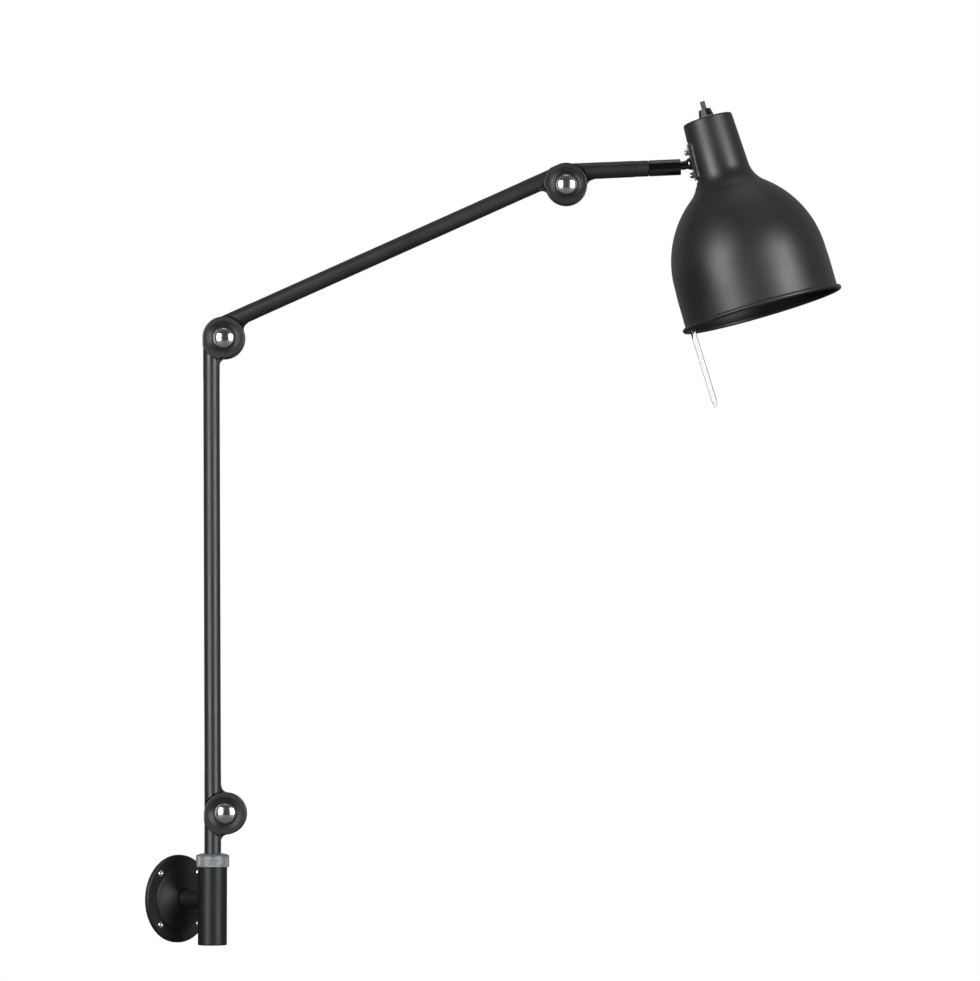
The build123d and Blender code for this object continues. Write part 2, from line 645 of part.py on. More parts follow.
def lock_sleeve():
    """Sleeve on the nose. Its lip closes in front of the ball."""
    outer, bore, edge = SLEEVE_D / 2, NOSE_D / 2 + RUN, SLEEVE_EDGE
    ball, end = BALL_D / 2 + RUN, BALL_AT + SLEEVE_END
    lip = sqrt(ball ** 2 - SLEEVE_LIP ** 2)
    bulge = sagitta(ball, sqrt((ball - lip) ** 2 + SLEEVE_LIP ** 2))
    return turned(
        (bore, NOSE_START),
        (outer - edge, NOSE_START),
        (outer, NOSE_START + edge),
        (outer, end - edge),
        (outer - edge, end),
        (SLEEVE_MOUTH_D / 2, end),
        (lip, BALL_AT + SLEEVE_LIP),
        (ball, BALL_AT, -bulge),
        (bore, BALL_AT),
    )


def ball_seat():
    """Nylon cup behind the ball."""
    outer, ball = NOSE_D / 2 + RUN - FIT, BALL_D / 2 + RUN
    hole = CABLE_BORE_D / 2
    back = BALL_AT - sqrt(ball ** 2 - hole ** 2)
    low = BALL_AT - SEAT_L
    bulge = sagitta(ball, sqrt((ball - hole) ** 2 + (BALL_AT - back) ** 2))
    return turned(
        (hole, low),
        (outer, low),
        (outer, BALL_AT),
        (ball, BALL_AT),
        (hole, back, -bulge),
    )


def seat_washer():
    """Spring washer that presses the cup on the ball."""
    high = BALL_AT - SEAT_L
    return tube(NOSE_D + 2 * RUN - 2 * FIT, CABLE_BORE_D, high - SEAT_WASHER_T, high)


def ball_stud():
    """Ball, waist, domed shoulder against the clamp plates and threaded spigot, bored through."""
    end = CLAMP_BACK + RUN + STUD_FLANGE_T + STUD_NUT_H + STUD_END
    shoulder = Pos(0, 0, STUD_FACE) * Sphere(STUD_SHOULDER_D / 2) & rod(2 * STUD_SHOULDER_D, 0, STUD_FACE)
    stud = Sphere(BALL_D / 2) + rod(STUD_WAIST_D, 0, STUD_WAIST_END)
    stud += rod(STUD_NECK_D, STUD_WAIST_END, STUD_FACE) + shoulder
    stud += rod(STUD_SPIGOT_D, STUD_FACE, end)
    return stud - rod(STUD_BORE_D, -BALL_D, end + 1)


def stud_nut():
    """Flanged nut behind the clamp plates, inside the shade."""
    low = CLAMP_BACK + RUN
    high = low + STUD_FLANGE_T + STUD_NUT_H
    nut = rod(STUD_FLANGE_D, low, low + STUD_FLANGE_T)
    nut += polygon_bar(STUD_NUT_AF, 6, low + STUD_FLANGE_T, high)
    return nut - rod(STUD_SPIGOT_D + 2 * FIT, low, high)


# ---------------------------------------------------------------- clamp plates, on the stud's axis
def clamp_sheet(low, high, inset):
    """Plate across the stud with rounded corners, stud hole and two screw holes."""
    up, down, half = -(CLAMP_UP - inset), CLAMP_DOWN - inset, CLAMP_W / 2 - inset
    sheet = block(up, down, -half, half, low, high)
    sheet = fillet(sheet.edges().filter_by(Axis.Z), CLAMP_CORNER_R)
    sheet -= rod(STUD_SPIGOT_D + 2 * RUN, low, high)
    for x in (-CLAMP_SCREW_AT, CLAMP_SCREW_AT):
        sheet -= Pos(x, 0, 0) * rod(CLAMP_SCREW_D + 2 * FIT, low, high)
    return sheet


def clamp_plate_front():
    return clamp_sheet(CLAMP_FRONT, CLAMP_FRONT + CLAMP_T, 0)


def clamp_pad():
    return clamp_sheet(CLAMP_FRONT + CLAMP_T, CLAMP_BACK - CLAMP_T, PAD_INSET)


def clamp_plate_back():
    return clamp_sheet(CLAMP_BACK - CLAMP_T, CLAMP_BACK, 0)


def clamp_screws():
    """Two button head screws through the plates and the shade's neck."""
    head_low, end = CLAMP_FRONT - CLAMP_HEAD_H, CLAMP_BACK + SHADE_WALL + CLAMP_NUT_H + CLAMP_SCREW_END
    screw = rod(CLAMP_HEAD_D, head_low, CLAMP_FRONT)
    screw = fillet(screw.edges().group_by(Axis.Z)[0], CLAMP_HEAD_H / 3)
    screw += rod(CLAMP_SCREW_D, CLAMP_FRONT, end)
    screw -= polygon_bar(CLAMP_HEAD_SOCKET, 6, head_low - 1, head_low + CLAMP_HEAD_H / 2)
    return Compound(children=[Pos(x, 0, 0) * screw for x in (-CLAMP_SCREW_AT, CLAMP_SCREW_AT)])


def clamp_nuts():
    """Nuts of the two clamp screws, inside the shade."""
    low = CLAMP_BACK + SHADE_WALL
    nut = polygon_bar(CLAMP_NUT_AF, 6, low, low + CLAMP_NUT_H)
    nut -= rod(CLAMP_SCREW_D + 2 * FIT, low, low + CLAMP_NUT_H)
    return Compound(children=[Pos(x, 0, 0) * nut for x in (-CLAMP_SCREW_AT, CLAMP_SCREW_AT)])


# ---------------------------------------------------------------- shade, top at z = 0, mouth down
def bell(inset):
    """Full body of the shade's outside, moved in by a wall thickness."""
    slope = tan(radians(FLAT_ANGLE))
    flank = cos(radians(FLAT_ANGLE))
    bell_x = BELL_D / 2 - BELL_R
    # Centre of the shoulder's arc: one radius out from the neck's line and from the bell's arc.
    start = SHADE_TOP_D / 2 + SHOULDER_FILLET_R / flank - bell_x
    reach = BELL_R + SHOULDER_FILLET_R
    a, b, c = 1 + slope ** 2, start * slope - BELL_END, start ** 2 + BELL_END ** 2 - reach ** 2
    depth = (-b - sqrt(b ** 2 - a * c)) / a
    arc_x = start + bell_x + depth * slope
    shoulder, dome = SHOULDER_FILLET_R + inset, BELL_R - inset
    neck_low = (arc_x - shoulder * flank, -(depth + shoulder * sin(radians(FLAT_ANGLE))))
    share = shoulder / reach
    meet = (arc_x + (bell_x - arc_x) * share, -(depth + (BELL_END - depth) * share))
    top_r, skirt_r = SHADE_TOP_D / 2 - inset / flank, SKIRT_D / 2 - inset
    edge = max(SHADE_TOP_EDGE_R - inset, 0.4)
    dome_end = (bell_x + dome, -BELL_END)
    chord_1 = sqrt((meet[0] - neck_low[0]) ** 2 + (meet[1] - neck_low[1]) ** 2)
    chord_2 = sqrt((dome_end[0] - meet[0]) ** 2 + (dome_end[1] - meet[1]) ** 2)
    corner = top_r + inset * slope
    return turned(
        (0, -inset),
        (0, -SKIRT_END),
        (skirt_r, -SKIRT_END),
        dome_end,
        (*meet, sagitta(dome, chord_2)),
        (*neck_low, -sagitta(shoulder, chord_1)),
        (corner + edge * slope, -inset - edge),
        (corner - edge, -inset, rounded(edge)),
    )


def flat_cut(inset):
    """What the pressed flat takes off the neck, in the shade's own frame."""
    up = -(CLAMP_UP + FLAT_END_GAP + inset)
    down = CLAMP_DOWN + FLAT_END_GAP + inset
    return STUD_IN_SHADE * block(up, down, -SHADE_TOP_D, SHADE_TOP_D, -SHADE_TOP_D, CLAMP_BACK + inset)


def shade():
    """Spun bell of even wall: flat top, neck with a pressed flat, rolled edge at the mouth."""
    outside = bell(0) - flat_cut(0)
    inside = bell(SHADE_WALL) - flat_cut(SHADE_WALL)
    body = outside - inside
    body += Pos(0, 0, -SKIRT_END) * Torus(BEAD_D / 2, BEAD_R)
    body -= rod(SWITCH_THREAD_D + 2 * SWITCH_HOLE_GAP, -SHADE_WALL - 1, 1)
    low, high = CLAMP_BACK - 1, CLAMP_BACK + SHADE_WALL + 1
    body -= STUD_IN_SHADE * rod(STUD_HOLE_D, low, high)
    for x in (-CLAMP_SCREW_AT, CLAMP_SCREW_AT):
        body -= STUD_IN_SHADE * Pos(x, 0, 0) * rod(CLAMP_SCREW_D + 2 * FIT, low, high)
    return body


def neck_plug(inset, top, low):
    """Body that fills the neck's inside between two depths, moved in from the wall."""
    slope, flank = tan(radians(FLAT_ANGLE)), cos(radians(FLAT_ANGLE))
    radius = SHADE_TOP_D / 2 - (SHADE_WALL + inset) / flank
    return turned((0, -top), (0, -low), (radius + low * slope, -low), (radius + top * slope, -top))


def holder_bracket():
    """Strap across the neck, bent down at both ends against the wall."""
    low = BRACKET_AT + BRACKET_T + BRACKET_TAB_L
    strap = neck_plug(BRACKET_GAP, BRACKET_AT, low)
    strap -= neck_plug(BRACKET_GAP + BRACKET_T, BRACKET_AT + BRACKET_T, low + 1)
    half = BRACKET_W / 2
    strap &= block(-half, half, -SHADE_TOP_D, SHADE_TOP_D, -low, -BRACKET_AT)
    return strap - rod(NIPPLE_D + 2 * FIT, -BRACKET_AT - BRACKET_T - 1, -BRACKET_AT + 1)


def holder_nipple():
    """Hollow threaded tube that hangs the lamp holder from the bracket."""
    return tube(NIPPLE_D, NIPPLE_BORE_D, -HOLDER_AT - NIPPLE_IN, -BRACKET_AT + NIPPLE_UP)


def nipple_nuts():
    """Hexagonal nut over the bracket and a thin ring under it."""
    nut = polygon_bar(NIPPLE_NUT_AF, 6, -BRACKET_AT, -BRACKET_AT + NIPPLE_NUT_H)
    ring = rod(NIPPLE_NUT_AF, -HOLDER_AT, -BRACKET_AT - BRACKET_T)
    hole = rod(NIPPLE_D + 2 * FIT, -HOLDER_AT, -BRACKET_AT + NIPPLE_NUT_H)
    return Compound(children=[nut - hole, ring - hole])


def lamp_holder():
    """Holder shell: narrow top, cone, wide skirt that is open downwards."""
    top, cone_end = HOLDER_AT + HOLDER_TOP_L, HOLDER_AT + HOLDER_TOP_L + HOLDER_CONE_L
    wall = HOLDER_WALL
    return turned(
        (NIPPLE_D / 2 + FIT, -HOLDER_AT),
        (HOLDER_TOP_D / 2 - 1, -HOLDER_AT),
        (HOLDER_TOP_D / 2, -HOLDER_AT - 1),
        (HOLDER_TOP_D / 2, -top),
        (HOLDER_D / 2, -cone_end),
        (HOLDER_D / 2, -HOLDER_AT - HOLDER_L),
        (HOLDER_D / 2 - wall, -HOLDER_AT - HOLDER_L),
        (HOLDER_D / 2 - wall, -cone_end),
        (HOLDER_TOP_D / 2 - wall, -top),
        (HOLDER_TOP_D / 2 - wall, -HOLDER_AT - NIPPLE_IN),
        (NIPPLE_D / 2 + FIT, -HOLDER_AT - NIPPLE_IN),
    )


def holder_insert():
    """Ceramic insert: floor in the holder's top and a sleeve round the bulb's cap."""
    floor = HOLDER_AT + HOLDER_TOP_L
    bore = BULB_CAP_D / 2 + 2 * FIT
    outer = bore + INSERT_WALL
    plug = HOLDER_TOP_D / 2 - HOLDER_WALL - FIT
    low = HOLDER_AT + HOLDER_L - 2
    ledge = floor + INSERT_T
    return turned(
        (0, INSERT_PLUG_L - floor),
        (plug, INSERT_PLUG_L - floor),
        (plug, -floor - 1),
        (outer, -ledge),
        (outer, -low),
        (bore, -low),
        (bore, -ledge),
        (0, -ledge),
    )


def holder_contact():
    """Brass spring contact under the bulb's foot."""
    low = -BULB_AT
    return rod(BULB_CAP_D / 3, low, low + CONTACT_T)


def bulb_cap():
    """Screw cap of the bulb, a thin cup open downwards."""
    high, low = -BULB_AT, -BULB_AT - BULB_CAP_L
    outer, inner = BULB_CAP_D / 2, BULB_CAP_D / 2 - BULB_CAP_WALL
    return turned(
        (0, high),
        (0, high - BULB_CAP_WALL),
        (BULB_CAP_D / 4, high - BULB_CAP_WALL),
        (inner, high - BULB_CAP_D / 4),
        (inner, low),
        (outer, low),
        (outer, high - BULB_CAP_D / 4),
        (BULB_CAP_D / 4, high),
    )


def bulb_body(inset):
    """Body of the bulb's glass: neck in the cap, flank, ball end."""
    neck, ball = BULB_NECK_D / 2 - inset, BULB_D / 2 - inset
    cap_low, end = BULB_AT + BULB_CAP_L, BULB_AT + BULB_L
    centre = end - BULB_D / 2
    top = cap_low - BULB_NECK_L
    flank_angle = radians(25)
    meet = (ball * cos(flank_angle), -centre + ball * sin(flank_angle))
    chord = sqrt(meet[0] ** 2 + (ball + ball * sin(flank_angle)) ** 2)
    run = sqrt((meet[0] - neck) ** 2 + (meet[1] + cap_low) ** 2)
    return turned(
        (0, -top),
        (0, -centre - ball),
        (*meet, sagitta(ball, chord)),
        (neck, -cap_low, -run / 14),
        (neck, -top),
    )


def bulb_glass():
    """Thin glass, open into the cap."""
    return bulb_body(0) - bulb_body(BULB_WALL)


# ---------------------------------------------------------------- switch on the shade's top
def switch_body():
    """Push switch in the neck, its threaded bush through the shade's top."""
    body = rod(SWITCH_BODY_D, -SHADE_WALL - SWITCH_BODY_L, -SHADE_WALL)
    body += rod(SWITCH_THREAD_D, -SHADE_WALL, SWITCH_NUT_H / 2)
    return body - rod(BUTTON_D + 2 * RUN, -BUTTON_IN - BUTTON_TRAVEL - FREE, SWITCH_NUT_H)


def switch_nut():
    """Faceted nut on the switch's bush, tapered above its foot."""
    outline = RegularPolygon(SWITCH_NUT_AF / 2, SWITCH_NUT_SIDES, major_radius=False)
    top = RegularPolygon(SWITCH_NUT_TOP_AF / 2, SWITCH_NUT_SIDES, major_radius=False)
    foot = extrude(outline, SWITCH_NUT_SIDE)
    taper = loft([Pos(0, 0, SWITCH_NUT_SIDE) * outline, Pos(0, 0, SWITCH_NUT_H) * top])
    nut = foot + taper
    nut -= rod(SWITCH_THREAD_D + 2 * FIT, -1, SWITCH_NUT_H / 2)
    return nut - rod(BUTTON_D + 2 * FREE, 0, SWITCH_NUT_H + 1)


def switch_button():
    """Plunger of the switch."""
    button = rod(BUTTON_D, -BUTTON_IN, BUTTON_UP)
    return chamfer(button.edges().group_by(Axis.Z)[-1], BUTTON_EDGE)


# ---------------------------------------------------------------- clear handle in the mouth
ON_HANDLE = Pos(-HANDLE_AXIS_R, 0, -CLIP_AT) * Rot(0, -HANDLE_LEAN, 0)


def handle_rod():
    """Clear rod with a pointed end, down past the mouth."""
    high, low = CLIP_AT - HANDLE_IN, CLIP_AT - HANDLE_OUT
    return ON_HANDLE * turned(
        (0, high),
        (0, low),
        (HANDLE_TIP_D / 2, low),
        (HANDLE_D / 2, low + HANDLE_TIP_L),
        (HANDLE_D / 2, high),
    )


def handle_clip():
    """Block inside the skirt that grips the handle."""
    front = -HANDLE_AXIS_R + HANDLE_D / 2 + CLIP_COVER
    clip = block(-SKIRT_D, front, -CLIP_W / 2, CLIP_W / 2, -CLIP_AT - CLIP_L / 2, -CLIP_AT + CLIP_L / 2)
    clip &= bell(SHADE_WALL + FIT)
    return clip - ON_HANDLE * rod(HANDLE_D + 2 * FIT, -CLIP_L, CLIP_L)


# ---------------------------------------------------------------- assembly
CASTING = knuckle()
TURNED_CASTING = Rot(180, 0, 0) * CASTING
REST = {
    "wall_plate": wall_plate(),
    "wall_neck": wall_neck(),
    "wall_screws": wall_screws(),
    "terminal_block": terminal_block(),
    "socket_tube": socket_tube(),
    "socket_end_cap": socket_end_cap(),
    "swivel_bushes": swivel_bushes(),
}
IN_ARM_PLANE = {
    "knurled_collar": knurled_collar(),
    "clamp_ring": clamp_ring(),
    "swivel_post": swivel_post(),
    "post_circlip": circlip(),
    "swivel_knuckle": Pos(*ELBOW_1) * TURNED_CASTING,
    "arm_1_low_knuckle": AT_ARM_1 * CASTING,
    "arm_1_tube": AT_ARM_1 * arm_tube(ARM_1_L),
    "arm_1_high_knuckle": AT_ARM_1 * Pos(0, 0, ARM_1_L) * TURNED_CASTING,
    "arm_2_low_knuckle": AT_ARM_2 * CASTING,
    "arm_2_tube": AT_ARM_2 * arm_tube(ARM_2_L),
    "arm_2_high_knuckle": AT_ARM_2 * Pos(0, 0, ARM_2_L) * TURNED_CASTING,
    "arm_3_knuckle": AT_ARM_3 * CASTING,
    "arm_3_tube": ON_TUBE_3 * arm_3_tube(),
    "ball_housing": ON_TUBE_3 * ball_housing(),
    "lock_sleeve": ON_TUBE_3 * lock_sleeve(),
    "ball_seat": ON_TUBE_3 * ball_seat(),
    "seat_washer": ON_TUBE_3 * seat_washer(),
    "ball_stud": AT_STUD * ball_stud(),
    "stud_nut": AT_STUD * stud_nut(),
    "clamp_plate_front": AT_STUD * clamp_plate_front(),
    "clamp_pad": AT_STUD * clamp_pad(),
    "clamp_plate_back": AT_STUD * clamp_plate_back(),
    "clamp_screws": AT_STUD * clamp_screws(),
    "clamp_nuts": AT_STUD * clamp_nuts(),
    "shade": AT_SHADE * shade(),
    "holder_bracket": AT_SHADE * holder_bracket(),
    "holder_nipple": AT_SHADE * holder_nipple(),
    "nipple_nuts": AT_SHADE * nipple_nuts(),
    "lamp_holder": AT_SHADE * lamp_holder(),
    "holder_insert": AT_SHADE * holder_insert(),
    "holder_contact": AT_SHADE * holder_contact(),
    "bulb_cap": AT_SHADE * bulb_cap(),
    "bulb_glass": AT_SHADE * bulb_glass(),
    "switch_body": AT_SHADE * switch_body(),
    "switch_nut": AT_SHADE * switch_nut(),
    "switch_button": AT_SHADE * switch_button(),
    "handle_rod": AT_SHADE * handle_rod(),
    "handle_clip": AT_SHADE * handle_clip(),
}
for number, centre in enumerate((ELBOW_1, ELBOW_2, ELBOW_3), start=1):
    AT_ELBOW = Pos(*centre)
    IN_ARM_PLANE[f"elbow_{number}_bolt"] = AT_ELBOW * pivot_bolt()
    IN_ARM_PLANE[f"elbow_{number}_nut"] = AT_ELBOW * pivot_nut()
    IN_ARM_PLANE[f"elbow_{number}_washer"] = AT_ELBOW * friction_washer()
    IN_ARM_PLANE[f"elbow_{number}_front_cap"] = AT_ELBOW * Rot(180, 0, 0) * dome_cap()
    IN_ARM_PLANE[f"elbow_{number}_back_cap"] = AT_ELBOW * dome_cap()

os.makedirs("parts", exist_ok=True)
for name, piece in {**REST, **{key: IN_ROOM * shape for key, shape in IN_ARM_PLANE.items()}}.items():
    piece.label = name
    export_step(piece, f"parts/{name}.step")
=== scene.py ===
import json
import math

import bmesh
import bpy
import numpy as np
from mathutils import Matrix, Vector


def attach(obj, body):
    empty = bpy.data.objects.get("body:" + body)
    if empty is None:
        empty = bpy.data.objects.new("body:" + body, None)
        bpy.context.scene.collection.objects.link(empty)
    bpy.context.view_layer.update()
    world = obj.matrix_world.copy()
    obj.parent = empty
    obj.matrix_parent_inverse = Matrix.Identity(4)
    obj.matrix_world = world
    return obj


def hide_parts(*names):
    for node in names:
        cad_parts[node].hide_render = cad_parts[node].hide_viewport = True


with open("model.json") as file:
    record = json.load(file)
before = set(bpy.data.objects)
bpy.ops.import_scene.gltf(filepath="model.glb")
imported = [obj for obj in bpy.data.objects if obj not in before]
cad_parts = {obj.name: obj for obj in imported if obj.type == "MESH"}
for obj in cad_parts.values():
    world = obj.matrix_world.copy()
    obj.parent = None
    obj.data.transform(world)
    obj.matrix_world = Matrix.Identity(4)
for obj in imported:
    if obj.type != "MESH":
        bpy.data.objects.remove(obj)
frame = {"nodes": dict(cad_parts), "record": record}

# Articulating wall lamp: smooth turned skins, a knurled collar, real finishes, studio and camera
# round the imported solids. Sizes here are millimetres in each piece's own frame; meshes are metres.

bl_info = {
    "name": "Articulating wall lamp",
    "version": (1, 0, 0),
    "blender": (4, 5, 0),
    "location": "3D View > Sidebar > Lamp",
    "description": "Builds the looks of an articulating wall lamp round its packed solids",
    "category": "Object",
}

# ---------------------------------------------------------------- where things are
ARM_PLANE_TURN = 46.6      # the arms' plane, off the wall's square
STANDOFF = 50.0
TUBE_OFFSET = 12.3         # elbow's centre to the tubes' axis
ARM_ANGLES = (90.38, 24.26, 2.47)
ARM_LENGTHS = (460.8, 365.0)
ELBOW_1_Z = 83.2
BALL_AT = 107.3
STUD_ANGLE = 13.16
CLAMP_BACK = 18.85         # ball's centre to the flat in the shade's neck
FLAT_ANGLE = math.degrees(math.atan2(54.0 - 48.8, 2 * 55.4))
SHADE_LEAN = STUD_ANGLE + FLAT_ANGLE
TOP_R = 24.4
STUD_AT = 37.9
FLAT_DEPTH = 2.6
FLAT_UP = 19.3             # stud's axis to the flat's upper end
FLAT_DOWN = 17.3
NECK_ENDS = (2.0, 60.0)    # under the shade's top, where the flat may reach
WALL = 1.2
TOP_HOLE_R = 4.62
TOP_EDGE_R = 1.8
BELL_R = 100.0
BELL_X = 76.0 - BELL_R
BELL_END = 151.6
SHOULDER_R = 28.0
SKIRT_R = 76.5
SKIRT_TOP = 162.0
SKIRT_LAP = 2.1            # skirt's end above the bead's middle
BEAD_AT = (77.65, -193.4)
BEAD_R = 2.3
BEAD_TURN = (118, -205)    # from the outside round under to the inside, in degrees
COLLAR_R = 16.0
COLLAR_BORE_R = 8.4
COLLAR_CUP_R = 13.05
COLLAR_EDGE = 0.8
COLLAR_LOW = 31.4
COLLAR_HIGH = 43.3
COLLAR_LIP = 42.7
KNURL_LEAN = 0.62          # rise of the grooves' lines against their pitch
COLLAR_DOME = ((13.4, 44.0), (11.4, 44.55), (9.3, 44.9))
CAP_R = 10.3
CAP_SPHERE_R = 15.5
CAP_LOW = 4.7
CAP_SKIRT = 1.4
CAP_WALL = 0.8

# ---------------------------------------------------------------- camera and lights
LENS_PIXELS = 4400.0
PICTURE_PIXELS = 980.0
SENSOR = 36.0
CAMERA_AT = (267.73, -4261.0, 159.2)
LIT_MIDDLE = (270.0, 0.0, 440.0)
SOFTBOX_SIZE = (1.2, 2.0)  # metres, as the next three
SOFTBOX_AWAY = 2.6
SOFTBOX_RAISE = 0.35
FLOOR_HALF = 8.0

IN_ROOM = Matrix.Translation((0, -STANDOFF, 0)) @ Matrix.Rotation(math.radians(-ARM_PLANE_TURN), 4, "Z")


def point_at(distance, angle):
    """Offset in the arm plane: distance * (cos angle, 0, sin angle)."""
    turn = math.radians(angle)
    return Vector((distance * math.cos(turn), 0, distance * math.sin(turn)))


def facing(origin, angle):
    """Frame at a point of the arm plane whose +Z runs at an angle above the horizontal."""
    return IN_ROOM @ Matrix.Translation(origin) @ Matrix.Rotation(math.radians(90 - angle), 4, "Y")


ELBOW_1 = Vector((TUBE_OFFSET, 0, ELBOW_1_Z))
ELBOW_2 = ELBOW_1 + point_at(ARM_LENGTHS[0], ARM_ANGLES[0])
ELBOW_3 = ELBOW_2 + point_at(ARM_LENGTHS[1], ARM_ANGLES[1])
ELBOWS = (ELBOW_1, ELBOW_2, ELBOW_3)
BALL = ELBOW_3 + point_at(BALL_AT, ARM_ANGLES[2]) + point_at(TUBE_OFFSET, ARM_ANGLES[2] + 90)
FLANK = math.radians(FLAT_ANGLE)
FLAT_X = -(TOP_R + STUD_AT * math.tan(FLANK) - FLAT_DEPTH * math.cos(FLANK))
FLAT_Z = -(STUD_AT + FLAT_DEPTH * math.sin(FLANK))
AT_SHADE = (
    IN_ROOM
    @ Matrix.Translation(BALL + point_at(CLAMP_BACK, STUD_ANGLE))
    @ Matrix.Rotation(math.radians(-SHADE_LEAN), 4, "Y")
    @ Matrix.Translation((-FLAT_X, 0, -FLAT_Z))
)


# ---------------------------------------------------------------- settings
class LampShape(bpy.types.PropertyGroup):
    """Sizes of the looks that stand on the solids."""

    knurl_pitch: bpy.props.FloatProperty(
        name="Knurl pitch", description="Distance between two grooves, in millimetres", default=1.6
    )
    knurl_depth: bpy.props.FloatProperty(
        name="Knurl depth", description="Depth of a groove, in millimetres", default=0.45
    )
    flat_blend: bpy.props.FloatProperty(
        name="Flat blend", description="Run-out of the pressed flat in the neck, in millimetres", default=2.4
    )
    shade_turns: bpy.props.IntProperty(
        name="Shade steps", description="Steps round the shade", default=240, min=24
    )
    cap_turns: bpy.props.IntProperty(
        name="Cap steps", description="Steps round an elbow cap", default=192, min=24
    )


class LampLooks(bpy.types.PropertyGroup):
    """Colours of the finishes."""

    charcoal: bpy.props.FloatVectorProperty(
        name="Charcoal", description="Powder coat of the arms and the shade", subtype="COLOR",
        default=(0.007, 0.007, 0.0068), min=0, max=1,
    )
    black: bpy.props.FloatVectorProperty(
        name="Black", description="Powder coat of the wall plate and socket", subtype="COLOR",
        default=(0.004, 0.004, 0.004), min=0, max=1,
    )
    collar: bpy.props.FloatVectorProperty(
        name="Collar", description="Colour of the knurled collar", subtype="COLOR",
        default=(0.23, 0.25, 0.265), min=0, max=1,
    )


class LampStudio(bpy.types.PropertyGroup):
    """Light, floor and camera."""

    key_power: bpy.props.FloatProperty(
        name="Left light", description="Power of the left soft light", default=82.0, subtype="POWER"
    )
    fill_power: bpy.props.FloatProperty(
        name="Right light", description="Power of the right soft light", default=88.0, subtype="POWER"
    )
    ambient: bpy.props.FloatProperty(
        name="Ambient", description="Brightness of the surroundings on the lamp", default=0.3, min=0
    )
    front: bpy.props.FloatProperty(
        name="Front", description="Brightness of the room's front side in reflections",
        default=0.05, min=0, max=1,
    )
    back: bpy.props.FloatProperty(
        name="Back", description="Brightness of the room's far side in reflections",
        default=0.34, min=0, max=1,
    )
    ceiling: bpy.props.FloatProperty(
        name="Ceiling", description="Brightness straight above the lamp in reflections", default=0.7, min=0
    )
    pitch: bpy.props.FloatProperty(
        name="Pitch", description="Upward tilt of the camera", default=math.radians(3.1754), subtype="ANGLE"
    )
    floor_drop: bpy.props.FloatProperty(
        name="Floor drop", description="Floor under the wall plate's middle", default=0.42, unit="LENGTH"
    )


# ---------------------------------------------------------------- surfaces
def arc(centre, radius, start, end, steps):
    """Points centre + radius * (cos a, sin a) for a from start to end, in degrees."""
    a = np.radians(np.linspace(start, end, steps + 1))
    return np.column_stack((centre[0] + radius * np.cos(a), centre[1] + radius * np.sin(a)))


def steps_between(start, end, step):
    """Even points of a straight side, without its end."""
    start, end = np.array(start, float), np.array(end, float)
    count = max(1, int(np.ceil(np.linalg.norm(end - start) / step)))
    return start + (end - start) * (np.arange(count) / count)[:, None]


def path(*runs):
    """One outline from points and arrays of points, without repeats."""
    points = np.vstack([np.atleast_2d(np.array(run, float)) for run in runs])
    keep = np.ones(len(points), bool)
    keep[1:] = np.linalg.norm(np.diff(points, axis=0), axis=1) > 1e-5
    return points[keep]


def mesh_object(name, points, faces, matrix, sharp):
    """Object at the origin from millimetre points in a piece's own frame."""
    spots = np.c_[points, np.ones(len(points))] @ np.array(matrix).T
    mesh = bpy.data.meshes.new(name)
    mesh.from_pydata((spots[:, :3] * 0.001).tolist(), [], faces)
    work = bmesh.new()
    work.from_mesh(mesh)
    bmesh.ops.remove_doubles(work, verts=work.verts, dist=1e-7)
    bmesh.ops.recalc_face_normals(work, faces=work.faces)
    work.to_mesh(mesh)
    work.free()
    mesh.shade_smooth()
    mesh.set_sharp_from_angle(angle=math.radians(sharp))
    piece = bpy.data.objects.new(name, mesh)
    bpy.context.scene.collection.objects.link(piece)
    return piece


def grid_faces(rows, columns):
    """Quads of a grid that closes round its rows and its columns."""
    i = np.arange(rows)[:, None]
    j = np.arange(columns)[None, :]
    down, on = (i + 1) % rows, (j + 1) % columns
    quads = np.stack((i * columns + j, down * columns + j, down * columns + on, i * columns + on), axis=-1)
    return quads.reshape(-1, 4).tolist()


def lathe(name, outline, turns, matrix, sharp, shape=None):
    """Turned surface: (r, z) goes to (r cos a, r sin a, z) for a in 0..360 degrees.
    shape, if given, moves the points of that grid."""
    a = np.linspace(0, 2 * math.pi, turns, endpoint=False)
    r, z = outline[:, 0][:, None], outline[:, 1][:, None]
    grid = np.stack((r * np.cos(a), r * np.sin(a), z + 0 * a), axis=-1)
    if shape is not None:
        grid = shape(grid, a)
    return mesh_object(name, grid.reshape(-1, 3), grid_faces(len(outline), turns), matrix, sharp)


